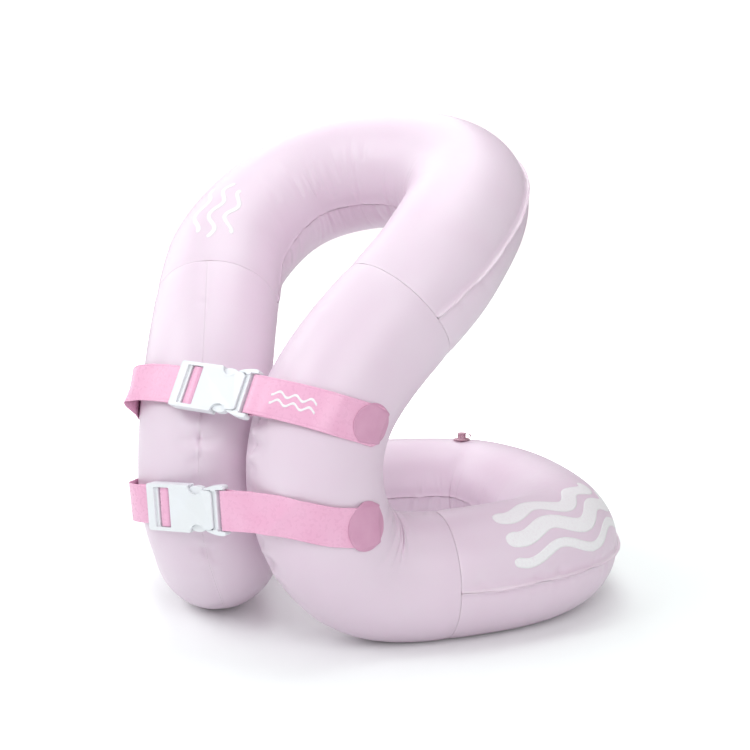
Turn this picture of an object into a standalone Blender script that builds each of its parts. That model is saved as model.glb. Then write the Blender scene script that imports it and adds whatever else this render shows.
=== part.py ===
"""Inflatable swim vest: one closed air tube, folded into a neck loop, two chest legs and a waist
loop, closed across the chest by two straps with side-release buckles.

Frame: +Z up, the wearer faces -Y, origin at the bottom centre of the bounding box. Metres.
The centreline is symmetric in X; only its right half is set out below.
"""
import math

import bmesh
import bpy
import numpy as np
from mathutils import Matrix, Vector

MM = 0.001
GAP = 0.3 * MM                      # clearance between pieces that lie on each other

# ---- air tube ----
TUBE_R = 65.0 * MM                  # outer radius of the inflated tube
FILM = 0.4 * MM                     # thickness of the PVC film
FIN = 4.5 * MM                      # welded edge that stands out along a flat seam
NECK_END = 0.315                    # share of the half loop where the neck loop meets a leg
WAIST_START = 0.676                 # share of the half loop where a leg meets the waist loop
SEAM_TURN = math.radians(22)        # how far the seams turn round the tube from neck to waist
ARC_STEPS = 9                       # facets across one film panel (odd: the lowest facet is flat)

# Control polygon of the tube's centreline (mm), from the nape down the chest and round the waist.
NAPE = (0, 50, 484)
NECK_SIDE = (127, 13, 456)
SHOULDER = (132, -101, 383)
COLLAR = (125, -129, 353)
CHEST = (62, -241, 244)
STOMACH = (68, -245, 133)
FOLD = (80, -183, 58)
HIP_FRONT = (164, -120, 63)
HIP_SIDE = (241, 24, 63)
HIP_BACK = (113, 193, 63)
BACK = (0, 280, 63)
HALF = (NAPE, NECK_SIDE, SHOULDER, COLLAR, CHEST, STOMACH, FOLD, HIP_FRONT, HIP_SIDE, HIP_BACK, BACK)

# ---- straps and buckles ----
STRAP_W = 38.0 * MM
STRAP_T = 1.2 * MM
PATCH_R = 23.0 * MM                 # round weld patch that holds a strap's end to the leg
PATCH_T = 1.0 * MM
LAY_GAP = 1.2 * MM                  # clearance of straps over the faceted film
PATCH_LIFT = 1.8 * MM               # clearance of a curved patch over the strap's straight crossing
TAIL = 30.0 * MM                    # folded-back end of a strap behind its buckle
BUCKLE_L = 90.0 * MM
BUCKLE_T = 11.0 * MM
WINDOW_W = 38.8 * MM                # clear width of the strap windows
WEB_BAR_X = 19.0 * MM               # flat bar in the socket that the left strap runs round
WEB_BAR_FLAT = 2.0 * MM             # half the straight part of that bar, between its round edges
END_BAR_X = 87.6 * MM               # bar in the plug that the right strap runs round
BAR = 3.2 * MM
ARM_PIVOT = (75.4 * MM, 11.2 * MM)  # flexing root of a plug arm: along the buckle, across it

# name: (middle of the buckle mm, lean back deg, roll deg, patch's share of the half loop)
CHEST_STRAPS = {
    "upper": ((-8, -295, 260), 28.0, -3.0, 0.408),
    "lower": ((-28.6, -313, 148), -0.5, 3.5, 0.503),
}
# how far a strap keeps straight on from its buckle, and from its leg, before it turns
PULL = {"upper_left": (1.35, 0.9), "lower_left": (1.0, 0.72), "upper_right": (0.66, 0.72),
        "lower_right": (0.66, 0.72)}
PATCH_TURN = -17.0                  # patch middle, degrees behind the leg's outermost line

# ---- valve ----
VALVE_XY = (-12 * MM, 246 * MM)
VALVE_FLANGE_R = 11.0 * MM
STEM_R = 5.5 * MM
STEM_H = 7.0 * MM
BORE_R = 3.3 * MM

PINK_FILM = (0.86, 0.74, 0.82)
PINK_STRAP = (0.87, 0.43, 0.65)
PINK_PATCH = (0.72, 0.36, 0.55)
WHITE = (0.92, 0.92, 0.93)
CLEAR = (0.88, 0.72, 0.78)


def remove_startup_objects():
    for obj in list(bpy.data.objects):
        bpy.data.objects.remove(obj, do_unlink=True)


def material(name, colour, roughness):
    mat = bpy.data.materials.new(name)
    mat.use_nodes = True
    shader = mat.node_tree.nodes["Principled BSDF"]
    shader.inputs["Base Color"].default_value = (*colour, 1.0)
    shader.inputs["Roughness"].default_value = roughness
    return mat


def add_object(name, mesh, mat, matrix=None):
    obj = bpy.data.objects.new(name, mesh)
    bpy.context.collection.objects.link(obj)
    if not mesh.materials:
        mesh.materials.append(mat)
    if matrix is not None:
        obj.matrix_world = matrix
    return obj


def mesh_from(verts, faces, smooth=True):
    """Closed mesh with its faces turned outward."""
    bm = bmesh.new()
    points = [bm.verts.new(v) for v in verts]
    for face in faces:
        bm.faces.new([points[i] for i in face])
    bmesh.ops.recalc_face_normals(bm, faces=bm.faces)
    mesh = bpy.data.meshes.new("mesh")
    bm.to_mesh(mesh)
    bm.free()
    if smooth:
        mesh.shade_smooth()
        mesh.set_sharp_from_angle(angle=math.radians(35))
    return mesh


# ---- centreline and the frame that follows it ----

def control_point(index):
    """Control polygon of the whole loop: the right half, then the same points mirrored back."""
    index %= 2 * (len(HALF) - 1)
    if index < len(HALF):
        return np.array(HALF[index], float) * MM
    x, y, z = HALF[2 * (len(HALF) - 1) - index]
    return np.array((-x, y, z), float) * MM


def centre(s, derivative=0):
    """Uniform cubic B-spline of the control polygon; s runs 0 (nape) to 1 (back).

    The derivative is per control-polygon step.
    """
    u = s * (len(HALF) - 1)
    i = math.floor(u)
    f = u - i
    if derivative == 0:
        basis = ((1 - f) ** 3, 3 * f ** 3 - 6 * f ** 2 + 4, -3 * f ** 3 + 3 * f ** 2 + 3 * f + 1, f ** 3)
    else:
        basis = (-3 * (1 - f) ** 2, 9 * f ** 2 - 12 * f, -9 * f ** 2 + 6 * f + 3, 3 * f ** 2)
    return sum(b / 6 * control_point(i + k - 1) for k, b in enumerate(basis))


def unit(vector):
    return vector / np.linalg.norm(vector)


def seam_frames(count=601):
    """Directions out of the tube at each share s: 'side' to the flat seam, 'front' a quarter on.

    The frame starts square to the nape and is carried along without turning about the tube;
    the seams themselves then turn by SEAM_TURN down the shoulder.
    """
    shares = np.linspace(0, 1, count)
    tangents = [unit(centre(s, 1)) for s in shares]
    points = [centre(s) for s in shares]
    bend = unit(centre(0.0) - centre(0.02))
    side = unit(bend - tangents[0] * (bend @ tangents[0]))
    sides = [side]
    for i in range(count - 1):
        step = points[i + 1] - points[i]
        carried = sides[-1] - 2 / (step @ step) * (step @ sides[-1]) * step
        turned = tangents[i] - 2 / (step @ step) * (step @ tangents[i]) * step
        change = tangents[i + 1] - turned
        if change @ change > 1e-16:
            carried = carried - 2 / (change @ change) * (change @ carried) * change
        sides.append(carried)
    turned_sides = []
    for s, t, side in zip(shares, tangents, sides):
        blend = min(max((s - 0.15) / 0.3, 0.0), 1.0)
        angle = SEAM_TURN * blend * blend * (3 - 2 * blend)
        turned_sides.append(math.cos(angle) * side + math.sin(angle) * np.cross(t, side))
    return shares, np.array(turned_sides)


SHARES, SIDES = seam_frames()


def section(s):
    """Centre, side and front direction at share s; a negative s is the left half."""
    share = abs(s)
    side = unit(np.array([np.interp(share, SHARES, SIDES[:, k]) for k in range(3)]))
    tangent = unit(centre(share, 1))
    side = unit(side - tangent * (side @ tangent))
    front = np.cross(tangent, side)
    mirror = np.array((math.copysign(1, s), 1, 1))
    return centre(share) * mirror, side * mirror, front * mirror


def on_tube(s, angle, radius):
    middle, side, front = section(s)
    return middle + radius * (math.cos(angle) * side + math.sin(angle) * front)


# ---- film panels ----

def panel_profile(fin):
    """Outline of one film sheet across the tube, from seam to seam, as (along seam, across, inner)."""
    lift = GAP / 2
    first = math.radians(5) if fin else lift / TUBE_R
    angles = np.linspace(first, math.pi - first, ARC_STEPS + 1)
    outer = [(TUBE_R * math.cos(a), TUBE_R * math.sin(a), False) for a in angles]
    inner_r = TUBE_R - FILM
    inner = [(inner_r * math.cos(a), inner_r * math.sin(a), True) for a in reversed(angles)]
    if not fin:
        return outer + inner
    tip = TUBE_R + fin
    root = TUBE_R + 0.8 * MM
    foot = inner_r - 1.0 * MM
    start = [(tip, lift + FILM, False), (root, lift + FILM, False)]
    middle = [(-root, lift + FILM, False), (-tip, lift + FILM, False), (-tip, lift, False),
              (-foot, lift, True)]
    end = [(foot, lift, True), (tip, lift, False)]
    return start + outer + middle + inner + end


def film_panel(name, mat, shares, seam_angle, flip, fin):
    """One sheet swept along the tube; it is pressed flat where it would go below the floor."""
    profile = panel_profile(fin)
    verts = []
    for s in shares:
        middle, side, front = section(s)
        along = math.cos(seam_angle) * side + math.sin(seam_angle) * front
        across = math.cos(seam_angle) * front - math.sin(seam_angle) * side
        for a, b, inner in profile:
            point = middle + a * along + flip * b * across
            point[2] = max(point[2], FILM if inner else 0.0)
            verts.append(point)
    add_object(name, mesh_from(verts, swept_faces([p[2] for p in profile], len(shares))), mat)


def swept_faces(inner, rows):
    """Triangles of a closed outline swept over rows; the ends are capped in strips.

    inner says which outline points are on the sheet's inner face. Both faces are split along the
    same diagonal, so that the thin wall between them stays even where the sheet twists.
    """
    n = len(inner)
    faces = []
    for i in range(rows - 1):
        for j in range(n):
            k = (j + 1) % n
            a, b, c, d = i * n + j, i * n + k, (i + 1) * n + k, (i + 1) * n + j
            if inner[j] and inner[k]:
                faces += [(a, b, d), (b, c, d)]
            else:
                faces += [(a, b, c), (a, c, d)]
    for row in (0, (rows - 1) * n):
        for j in range(n // 2 - 1):
            faces.append((row + j, row + j + 1, row + n - 2 - j, row + n - 1 - j))
    return faces


def build_tube(film):
    ring_gap = 0.0002               # half the gap at a ring weld, as a share of the half loop
    neck = np.linspace(-NECK_END + ring_gap, NECK_END - ring_gap, 19)
    film_panel("neck_front_panel", film, neck, 0.0, 1, FIN)
    film_panel("neck_back_panel", film, neck, 0.0, -1, FIN)
    leg = np.linspace(NECK_END + ring_gap, WAIST_START - ring_gap, 20)
    for name, hand in (("left", -1), ("right", 1)):
        film_panel(name + "_leg_outer_panel", film, hand * leg, math.pi / 2, -1, 0.0)
        film_panel(name + "_leg_inner_panel", film, hand * leg, math.pi / 2, 1, 0.0)
    waist = np.linspace(WAIST_START + ring_gap, 1.0, 14)
    round_back = list(waist) + list(-waist[-2::-1])
    film_panel("waist_lower_panel", film, round_back, 0.0, 1, FIN)
    film_panel("waist_upper_panel", film, round_back, 0.0, -1, FIN)


# ---- straps ----

def buckle_matrix(middle, lean, roll):
    """Buckle frame: x along it from the socket's strap end, y in towards the chest, z across it."""
    place = Matrix.Translation(Vector(middle) * MM)
    lean_back = Matrix.Rotation(math.radians(-lean), 4, "X")
    rolled = Matrix.Rotation(math.radians(-roll), 4, "Y")
    return place @ lean_back @ rolled @ Matrix.Translation((-BUCKLE_L / 2, 0, 0))


def to_world(matrix, x, y, z=0.0):
    return np.array(matrix @ Vector((x, y, z)))


def patch_site(share):
    """Patch middle on the leg, its angle round the tube, and the leg's axis there (upward)."""
    hand = math.copysign(1, share)
    axis = -unit(centre(abs(share), 1)) * np.array((hand, 1, 1))
    return math.radians(PATCH_TURN), axis


def around_leg(share, angle):
    """Direction round the leg, towards its front, at an angle."""
    _, side, front = section(share)
    return -math.sin(angle) * side + math.cos(angle) * front


def strap_slope(start, share):
    """Angle at which a strap climbs the leg, so that it heads straight for its buckle."""
    angle, axis = patch_site(share)
    reach = start - on_tube(share, angle, TUBE_R + LAY_GAP)
    rise = reach @ axis
    return math.atan2(rise, np.linalg.norm(reach - rise * axis))


def on_strap_line(share, slope, step):
    """Point, heading and width direction on the leg, a step ahead of the patch's middle."""
    angle, axis = patch_site(share)
    lay = TUBE_R + LAY_GAP + STRAP_T / 2
    length = np.linalg.norm(centre(abs(share), 1)) * (len(HALF) - 1)
    climbed = share - math.copysign(1, share) * step * math.sin(slope) / length
    turned = angle + step * math.cos(slope) / lay
    around = around_leg(climbed, turned)
    heading = math.cos(slope) * around + math.sin(slope) * axis
    return on_tube(climbed, turned, lay), heading, math.cos(slope) * axis - math.sin(slope) * around


def strap_run(matrix, bar_x, side, share, pull):
    """Main run of a strap from its buckle bar to its patch: points and width directions."""
    along = np.array(matrix.to_3x3() @ Vector((side, 0, 0)))
    inward = np.array(matrix.to_3x3() @ Vector((0, 1, 0)))
    if side < 0:
        start = to_world(matrix, bar_x - WEB_BAR_FLAT - 6 * MM, 2.3 * MM)
    else:
        start = to_world(matrix, bar_x + 3 * MM, -(BAR / 2 + 1.7 * MM))
        along = unit(along + 0.18 * inward)
    slope = strap_slope(start, share)
    touch, forward, axis = on_strap_line(share, slope, PATCH_R + 2 * MM)
    reach = touch - start
    handle_a = start + along * pull[0] * abs(reach @ along)
    handle_b = touch + forward * pull[1] * abs(reach @ inward)
    points, widths = [], []
    across = np.array(matrix.to_3x3() @ Vector((0, 0, 1)))
    for t in np.linspace(0, 1, 15):
        ease = t * t * (3 - 2 * t)
        points.append((1 - t) ** 3 * start + 3 * (1 - t) ** 2 * t * handle_a
                      + 3 * (1 - t) * t ** 2 * handle_b + t ** 3 * touch)
        widths.append(unit((1 - ease) * across + ease * axis))
    for step in (19, 13, 7, 0, -6, -12):
        point, _, width = on_strap_line(share, slope, step * MM)
        points.append(point)
        widths.append(width)
    return points, widths, inward


def strap_tail(points, widths, inward, side):
    """Folded-back end behind the run: it starts level with the bar and hugs the run."""
    tail, tail_widths, gone = [], [], 0.0
    for i, (point, width) in enumerate(zip(points, widths)):
        if i:
            gone += np.linalg.norm(point - points[i - 1])
        if gone > TAIL:
            break
        spare = 0.0 if side < 0 else 4.8 * MM * max(0.0, 1 - gone / (14 * MM)) ** 2
        behind = unit(np.cross(points[i + 1] - point, width))
        behind = behind if behind @ inward > 0 else -behind
        tail.append(point + behind * (2.2 * MM + spare))
        tail_widths.append(width)
    return tail, tail_widths


def bar_loop(matrix, bar_x, side):
    """Turn of the strap round its bar, from the tail's side to the main run's side."""
    radius = BAR / 2 + 1.7 * MM
    start, stop = (-60, 165) if side < 0 else (-90, 90)
    flat = WEB_BAR_FLAT if side < 0 else 0.0
    for degrees in np.linspace(start, stop, 10):
        a = math.radians(degrees)
        middle = bar_x - side * math.copysign(flat, 90 - degrees)
        yield to_world(matrix, middle - side * radius * math.cos(a), -radius * math.sin(a))


def band(name, mat, points, widths, half_width, thickness):
    """Flat band swept along points; widths give its crosswise direction at each point."""
    verts = []
    for i, (point, width) in enumerate(zip(points, widths)):
        heading = unit(points[min(i + 1, len(points) - 1)] - points[max(i - 1, 0)])
        width = unit(width - heading * (width @ heading))
        normal = np.cross(heading, width)
        for a, b in ((-1, -1), (1, -1), (1, 1), (-1, 1)):
            verts.append(point + a * half_width * width + b * thickness / 2 * normal)
    faces = [(0, 1, 2, 3), tuple(len(verts) - 4 + k for k in range(4))]
    for i in range(len(points) - 1):
        for j in range(4):
            k = (j + 1) % 4
            faces.append((4 * i + j, 4 * i + k, 4 * i + 4 + k, 4 * i + 4 + j))
    add_object(name, mesh_from(verts, faces), mat)


def build_strap(name, mat, matrix, side, share, pull):
    bar_x = WEB_BAR_X if side < 0 else END_BAR_X
    points, widths, inward = strap_run(matrix, bar_x, side, share, pull)
    tail, tail_widths = strap_tail(points, widths, inward, side)
    loop = list(bar_loop(matrix, bar_x, side))
    across = [np.array(matrix.to_3x3() @ Vector((0, 0, 1)))] * len(loop)
    band(name, mat, tail[::-1] + loop + points, tail_widths[::-1] + across + widths,
         STRAP_W / 2, STRAP_T)


def build_patch(name, mat, share):
    """Round patch welded over the strap's end, bent to the leg."""
    angle, _ = patch_site(share)
    hand = math.copysign(1, share)
    length = np.linalg.norm(centre(abs(share), 1)) * (len(HALF) - 1)
    under = TUBE_R + LAY_GAP + STRAP_T + PATCH_LIFT
    verts = []
    for radius in (under, under + PATCH_T):
        verts.append(on_tube(share, angle, radius))
        for ring in (0.5, 1.0):
            for k in range(20):
                turn = math.tau * k / 20
                ds = ring * PATCH_R * math.sin(turn) / length
                da = ring * PATCH_R * math.cos(turn) / under
                verts.append(on_tube(share + hand * ds, angle + da, radius))
    faces = []
    for base in (0, 41):
        for k in range(20):
            n = (k + 1) % 20
            faces.append((base, base + 1 + k, base + 1 + n))
            faces.append((base + 1 + k, base + 21 + k, base + 21 + n, base + 1 + n))
    faces += [(21 + k, 21 + (k + 1) % 20, 62 + (k + 1) % 20, 62 + k) for k in range(20)]
    add_object(name, mesh_from(verts, faces), mat)


# ---- side-release buckle ----

def prism(outline, low, high):
    """Closed prism: an outline in x and z, extruded from y=low to y=high. All in mm."""
    n = len(outline)
    verts = [(x * MM, y * MM, z * MM) for y in (low, high) for x, z in outline]
    faces = [tuple(range(n)), tuple(range(n, 2 * n))]
    faces += [(k, (k + 1) % n, n + (k + 1) % n, n + k) for k in range(n)]
    return mesh_from(verts, faces, smooth=False)


def box(x0, x1, y0, y1, z0, z1):
    return prism(((x0, z0), (x1, z0), (x1, z1), (x0, z1)), y0, y1)


def carved(base, cuts, joins=()):
    """Base mesh with the cuts taken out and then the joins added, as one new mesh."""
    body = bpy.data.objects.new("body", base)
    bpy.context.collection.objects.link(body)
    tools = []
    for operation, meshes in (("DIFFERENCE", cuts), ("UNION", joins)):
        for mesh in meshes:
            tool = bpy.data.objects.new("tool", mesh)
            bpy.context.collection.objects.link(tool)
            modifier = body.modifiers.new("step", "BOOLEAN")
            modifier.operation = operation
            modifier.object = tool
            tools.append(tool)
    bpy.context.view_layer.update()
    result = bpy.data.meshes.new_from_object(body.evaluated_get(bpy.context.evaluated_depsgraph_get()))
    for obj in tools + [body]:
        bpy.data.objects.remove(obj, do_unlink=True)
    return result


def mirrored(half_outline):
    """Outline symmetric about the buckle's long axis, from its upper half."""
    return list(half_outline) + [(x, -z) for x, z in reversed(half_outline)]


def socket_mesh():
    """Hollow body, open at its mouth, with round thumb notches and a barred strap window."""
    upper = [(0, 21.2), (1.6, 22.75), (49.4, 22.75)]
    for degrees in range(190, 331, 20):
        a = math.radians(degrees)
        upper.append((58 + 8.5 * math.cos(a), 22.9 + 8.5 * math.sin(a)))
    upper.append((75, 18.2))
    half_t = BUCKLE_T / MM / 2
    window = WINDOW_W / MM / 2
    bar_t = BAR / MM / 2
    bar0 = (WEB_BAR_X - WEB_BAR_FLAT) / MM - bar_t
    bar1 = (WEB_BAR_X + WEB_BAR_FLAT) / MM + bar_t
    cuts = [
        box(8.5, bar0, -9, 9, -window, window),
        box(bar1, 27.0, -9, 9, -window, window),
        box(bar0 - 1, bar1 + 1, -9, -bar_t, -window + 0.1, window - 0.1),
        box(bar0 - 1, bar1 + 1, bar_t, 9, -window + 0.1, window - 0.1),
        box(-1, 9.5, 1.2, 9, -window + 0.2, window - 0.2),
        box(32.0, 77.0, -3.3, 3.3, -16.5, 16.5),
        box(48.8, 66.4, -3.3, 3.3, 14.0, 30.0),
        box(48.8, 66.4, -3.3, 3.3, -30.0, -14.0),
    ]
    return carved(prism(mirrored(upper), -half_t, half_t), cuts)


def plug_mesh():
    """Base with flared wings outside the socket's mouth, a strap bar, and a guide tongue."""
    upper = [(75.8, 18.9), (67.4, 19.1), (67.7, 19.9), (71, 21.3), (76, 23.0), (82, 24.2), (87, 24.3),
             (89.6, 23.2), (90, 21.5), (90, 20.2)]
    open_half = WINDOW_W / MM / 2 + 0.4
    end_bar = END_BAR_X / MM
    half = BAR / MM / 2
    base = prism(mirrored(upper), -4.4, 4.4)
    cuts = [box(81.0, 96, -9, 9, -open_half, open_half), box(70, 81.5, -9, -2.8, -18.0, 18.0)]
    joins = [
        box(end_bar - half, end_bar + half, -half, half, -open_half - 1, open_half + 1),
        box(42.0, 76.4, -2.6, 2.6, -3.0, 3.0),
    ]
    return carved(base, cuts, joins)


def arm_mesh(upper):
    """Sprung arm: root at the plug's base, thumb bulge with a square shoulder, tapered tip."""
    outline = [(75.2, 9.6), (75.2, 12.9), (68.5, 13.9), (66.0, 15.0), (65.7, 18.9), (63.5, 21.2),
               (58.0, 22.0), (52.5, 21.2), (50.2, 19.0), (49.6, 16.0), (51.0, 13.5), (56.0, 12.2),
               (64.0, 11.0), (70.0, 9.8)]
    if not upper:
        outline = [(x, -z) for x, z in outline]
    return prism(outline, -2.8, 2.8)


def build_buckles(white):
    shapes = {
        "buckle_socket": socket_mesh(),
        "buckle_plug": plug_mesh(),
        "buckle_top_arm": arm_mesh(True),
        "buckle_bottom_arm": arm_mesh(False),
    }
    for row, (middle, lean, roll, _) in CHEST_STRAPS.items():
        matrix = buckle_matrix(middle, lean, roll)
        for piece, mesh in shapes.items():
            place = matrix
            if piece.endswith("arm"):
                sign = 1 if "top" in piece else -1
                pivot = Matrix.Translation((ARM_PIVOT[0], 0, sign * ARM_PIVOT[1]))
                mesh = mesh.copy()
                mesh.transform(pivot.inverted())
                place = matrix @ pivot
            add_object(f"{row}_{piece}", mesh, white, place)


# ---- valve ----

def turned(profile, steps):
    """Solid of revolution about z from a profile of (radius, height) in mm, axis to axis."""
    verts, rings = [], []
    for r, z in profile:
        count = steps if r > 0 else 1
        rings.append(range(len(verts), len(verts) + count))
        for k in range(count):
            turn = math.tau * k / steps
            verts.append((r * MM * math.cos(turn), r * MM * math.sin(turn), z * MM))
    faces = []
    for low, high in zip(rings, rings[1:]):
        for k in range(steps):
            n = (k + 1) % steps
            ring = [low[k % len(low)], low[n % len(low)], high[n % len(high)], high[k % len(high)]]
            faces.append(tuple(dict.fromkeys(ring)))
    return mesh_from(verts, faces)


def build_valve(mat):
    height = HIP_BACK[2] * MM + TUBE_R + 0.6 * MM
    place = Matrix.Translation((*VALVE_XY, height))
    flange, stem, bore, top = VALVE_FLANGE_R / MM, STEM_R / MM, BORE_R / MM, STEM_H / MM
    body = turned(((0, 0), (flange, 0), (flange, 0.8), (stem, 1.2), (stem, top), (bore, top),
                   (bore, 1.2), (0, 1.2)), 24)
    add_object("valve_body", body, mat, place)
    plug = turned(((0, 1.7), (2.5, 1.7), (3.0, 2.4), (3.0, top + 0.3), (6.0, top + 0.3),
                   (6.0, top + 1.6), (5.4, top + 2.2), (0, top + 2.2)), 24)
    add_object("valve_plug", plug, mat, place)
    route = ((5.9, 2.6), (8.6, 2.8), (11.4, 3.9), (12.8, 5.8), (12.2, 7.6), (9.6, 8.3), (6.4, 8.2))
    points = [to_world(place, r * MM, 0, z * MM) for r, z in route]
    widths = [np.array((0.0, 1.0, 0.0))] * len(points)
    band("valve_tether", mat, points, widths, 2.0 * MM, 0.8 * MM)


def main():
    remove_startup_objects()
    film = material("pvc_film", PINK_FILM, 0.32)
    strap = material("strap_pvc", PINK_STRAP, 0.4)
    patch = material("weld_patch", PINK_PATCH, 0.45)
    white = material("buckle_plastic", WHITE, 0.35)
    clear = material("valve_plastic", CLEAR, 0.3)
    build_tube(film)
    for row, (middle, lean, roll, share) in CHEST_STRAPS.items():
        matrix = buckle_matrix(middle, lean, roll)
        for name, side in (("left", -1), ("right", 1)):
            pull = PULL[f"{row}_{name}"]
            build_strap(f"{row}_{name}_strap", strap, matrix, side, side * share, pull)
            build_patch(f"{row}_{name}_patch", patch, side * share)
    build_buckles(white)
    build_valve(clear)


main()
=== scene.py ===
"""Looks of the inflatable swim vest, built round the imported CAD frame.

Frame: metres, +Z up, the wearer faces -Y, +X is the wearer's left, origin at the bottom centre.
The air tube follows one closed centreline; a share s runs 0 (nape) to 1 (middle of the back),
negative on the left half. An angle round the tube is 0 on the outer flat seam, 90 on the front.
"""
import math

import bmesh
import bpy
import numpy as np
from mathutils import Matrix, Vector


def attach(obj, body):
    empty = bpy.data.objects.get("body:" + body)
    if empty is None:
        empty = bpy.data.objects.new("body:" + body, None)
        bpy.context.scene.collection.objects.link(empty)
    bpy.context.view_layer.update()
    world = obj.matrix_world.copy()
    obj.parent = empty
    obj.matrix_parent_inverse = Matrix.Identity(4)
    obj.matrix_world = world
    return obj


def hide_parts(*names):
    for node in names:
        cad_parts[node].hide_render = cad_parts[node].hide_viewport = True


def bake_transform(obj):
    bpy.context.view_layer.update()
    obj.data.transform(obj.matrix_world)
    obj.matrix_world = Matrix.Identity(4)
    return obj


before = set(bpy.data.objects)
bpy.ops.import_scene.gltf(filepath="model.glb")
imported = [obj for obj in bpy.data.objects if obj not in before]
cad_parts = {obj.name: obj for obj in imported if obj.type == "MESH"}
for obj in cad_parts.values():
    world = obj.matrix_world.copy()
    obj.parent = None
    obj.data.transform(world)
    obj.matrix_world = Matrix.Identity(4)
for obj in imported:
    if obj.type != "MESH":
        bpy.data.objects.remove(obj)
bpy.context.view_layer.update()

MM = 0.001
SEED = 20

# ---- air tube (the same numbers as the CAD source) ----
TUBE_R = 65.0 * MM
FILM = 0.4 * MM
FIN = 3.6 * MM
NECK_END = 0.315
WAIST_START = 0.676
SEAM_TURN = math.radians(22)
HALF = np.array((
    (0, 50, 484), (127, 13, 456), (132, -101, 383), (125, -129, 353), (62, -241, 244), (68, -245, 133),
    (80, -183, 58), (164, -120, 63), (241, 24, 63), (113, 193, 63), (0, 280, 63)), float) * MM
STEPS = len(HALF) - 1
POLYGON = np.vstack([HALF, HALF[-2:0:-1] * (-1, 1, 1)])

# ---- straps, buckles, valve (the same numbers as the CAD source) ----
STRAP_W = 38.0 * MM
STRAP_T = 1.2 * MM
PATCH_R = 23.0 * MM
LAY_GAP = 1.2 * MM
TAIL = 30.0 * MM
BUCKLE_L = 90.0 * MM
BUCKLE_T = 11.0 * MM
WINDOW_W = 38.8 * MM
WEB_BAR_X = 19.0 * MM
WEB_BAR_FLAT = 2.0 * MM
END_BAR_X = 87.6 * MM
BAR = 3.2 * MM
CHEST_STRAPS = {
    "upper": ((-8, -295, 260), 28.0, -3.0, 0.408),
    "lower": ((-28.6, -313, 148), -0.5, 3.5, 0.503),
}
# how far a strap keeps straight on from its buckle, and from its leg, before it turns
PULL = {"upper_left": (1.35, 0.9), "lower_left": (1.0, 0.72), "upper_right": (0.66, 0.72),
        "lower_right": (0.66, 0.72)}
PATCH_TURN = math.radians(-17)
VALVE_PLACE = (-12 * MM, 246 * MM, 128.6 * MM)

# ---- film shape ----
GRID = 2.3 * MM                     # mesh step along and across the film
BEND_START = 0.75                   # share of a bend's radius where the film starts to crowd
BEND_ROOM = 0.17                    # how much closer to the bend's centre it still comes
FLOOR_SOFT = 0.9 * MM               # rounding where the film turns flat on the floor
SEAM_LIP = 0.25 * MM                # inner face of a fin, off the seam's plane

# ---- colours (linear) ----
PINK_FILM = (0.790, 0.622, 0.738)
PINK_FILM_DEEP = (0.775, 0.588, 0.714)
# painted highlight: lighter pink for the lit edges of the welded seams and fins
PINK_WELD_HIGHLIGHT = (0.830, 0.675, 0.775)
PINK_STRAP = (0.785, 0.425, 0.595)
PINK_STRAP_DEEP = (0.760, 0.375, 0.550)
# the patch's deeper pink: partly its own colour, partly painted shade of a patch facing away from the
# light
PINK_PATCH_WITH_SHADE = (0.620, 0.320, 0.465)
PINK_PATCH_WITH_SHADE_DEEP = (0.580, 0.280, 0.425)
WHITE_PLASTIC = (0.735, 0.745, 0.785)
WHITE_PLASTIC_WARM = (0.725, 0.732, 0.760)
WHITE_PRINT = (0.820, 0.800, 0.820)
WHITE_PRINT_THIN = (0.790, 0.735, 0.775)
VALVE_PINK = (0.760, 0.480, 0.580)
VALVE_PINK_DEEP = (0.730, 0.410, 0.520)


def unit(vectors):
    return vectors / np.linalg.norm(vectors, axis=-1, keepdims=True)


def smooth(t):
    t = np.clip(t, 0.0, 1.0)
    return t * t * (3 - 2 * t)


# ---- centreline ----

def centre(s, derivative=0):
    """Closed uniform cubic B-spline at shares s; derivatives are per control-polygon step."""
    u = np.asarray(s, float) * STEPS
    i = np.floor(u).astype(int)
    f = (u - i)[..., None]
    basis = {
        0: ((1 - f) ** 3, 3 * f ** 3 - 6 * f ** 2 + 4, -3 * f ** 3 + 3 * f ** 2 + 3 * f + 1, f ** 3),
        1: (-3 * (1 - f) ** 2, 9 * f ** 2 - 12 * f, -9 * f ** 2 + 6 * f + 3, 3 * f ** 2),
        2: (6 * (1 - f), 18 * f - 12, 6 - 18 * f, 6 * f),
    }[derivative]
    return sum(b / 6 * POLYGON[(i + k - 1) % len(POLYGON)] for k, b in enumerate(basis))


def seam_frames(count=601):
    """Direction out to the flat seam along the half loop, carried without turning, then turned."""
    shares = np.linspace(0, 1, count)
    tangents = unit(centre(shares, 1))
    points = centre(shares)
    bend = unit(centre(0.0) - centre(0.02))
    side = unit(bend - tangents[0] * (bend @ tangents[0]))
    sides = [side]
    for i in range(count - 1):
        step = points[i + 1] - points[i]
        carried = sides[-1] - 2 / (step @ step) * (step @ sides[-1]) * step
        turned = tangents[i] - 2 / (step @ step) * (step @ tangents[i]) * step
        change = tangents[i + 1] - turned
        if change @ change > 1e-16:
            carried = carried - 2 / (change @ change) * (change @ carried) * change
        sides.append(carried)
    angle = (SEAM_TURN * smooth((shares - 0.15) / 0.3))[:, None]
    sides = np.array(sides)
    return shares, np.cos(angle) * sides + np.sin(angle) * np.cross(tangents, sides)


SHARES, SIDES = seam_frames()
ARC = np.concatenate([[0.0], np.cumsum(np.linalg.norm(np.diff(centre(SHARES), axis=0), axis=1))])


def arc(s):
    """Signed length of centreline from the nape to share s."""
    return np.sign(s) * np.interp(np.abs(s), SHARES, ARC)


def share_at(length):
    return np.sign(length) * np.interp(np.abs(length), ARC, SHARES)


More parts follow.
